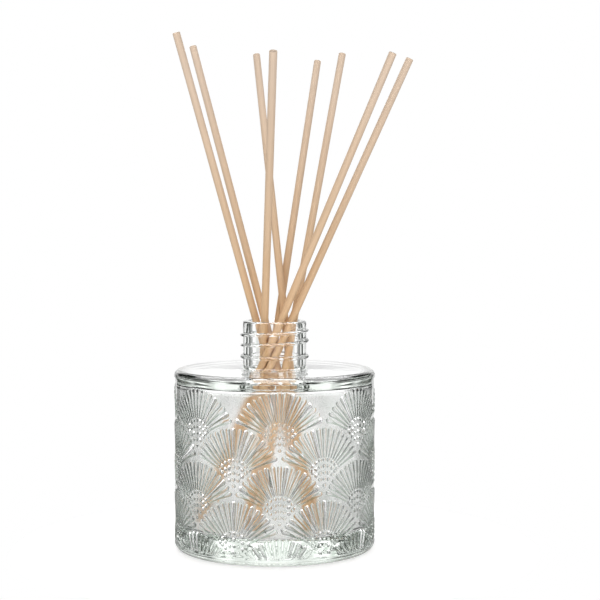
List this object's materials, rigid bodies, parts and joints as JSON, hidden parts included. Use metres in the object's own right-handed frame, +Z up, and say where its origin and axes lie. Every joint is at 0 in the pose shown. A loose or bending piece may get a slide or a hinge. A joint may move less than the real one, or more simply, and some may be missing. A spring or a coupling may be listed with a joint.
{
  "type": "reed diffuser",
  "caption": "Round clear glass bottle with a flat shoulder, a screw neck and fan relief on its wall, holding loose rattan reeds that draw scent up and lift out one by one.",
  "frame": {"origin": "middle of the flat face that the bottle stands on", "axes": "+Z up along the bottle's axis, -Y towards the viewer of the picture, +X to the viewer's right"},
  "size_m": [0.0946, 0.1055, 0.2031],
  "materials": {
    "clear_glass": "fire polished, clear with a faint grey-green tint in the thick parts",
    "rattan": "natural, unvarnished, pale beige with fine lengthwise grain"
  },
  "bodies": {
    "bottle": {"glass_bottle": "clear_glass"},
    "reed_1": {"reed_1": "rattan"},
    "reed_2": {"reed_2": "rattan"},
    "reed_3": {"reed_3": "rattan"},
    "reed_4": {"reed_4": "rattan"},
    "reed_5": {"reed_5": "rattan"},
    "reed_6": {"reed_6": "rattan"},
    "reed_7": {"reed_7": "rattan"},
    "reed_8": {"reed_8": "rattan"}
  },
  "joints": [
    {"name": "reed_1_lift", "type": "slide", "parent": "bottle", "child": "reed_1", "axis": [-0.2563, -0.1473, 0.9553], "range_m": [0, 0.1]},
    {"name": "reed_2_lift", "type": "slide", "parent": "bottle", "child": "reed_2", "axis": [-0.2554, 0.1919, 0.9476], "range_m": [0, 0.1]},
    {"name": "reed_3_lift", "type": "slide", "parent": "bottle", "child": "reed_3", "axis": [-0.1055, 0.3267, 0.9392], "range_m": [0, 0.1]},
    {"name": "reed_4_lift", "type": "slide", "parent": "bottle", "child": "reed_4", "axis": [0.0384, -0.4326, 0.9008], "range_m": [0, 0.1]},
    {"name": "reed_5_lift", "type": "slide", "parent": "bottle", "child": "reed_5", "axis": [0.1408, 0.3464, 0.9275], "range_m": [0, 0.1]},
    {"name": "reed_6_lift", "type": "slide", "parent": "bottle", "child": "reed_6", "axis": [0.1733, 0.3017, 0.9375], "range_m": [0, 0.1]},
    {"name": "reed_7_lift", "type": "slide", "parent": "bottle", "child": "reed_7", "axis": [0.3777, -0.1612, 0.9118], "range_m": [0, 0.1]},
    {"name": "reed_8_lift", "type": "slide", "parent": "bottle", "child": "reed_8", "axis": [0.4123, 0.0239, 0.9108], "range_m": [0, 0.1]}
  ]
}
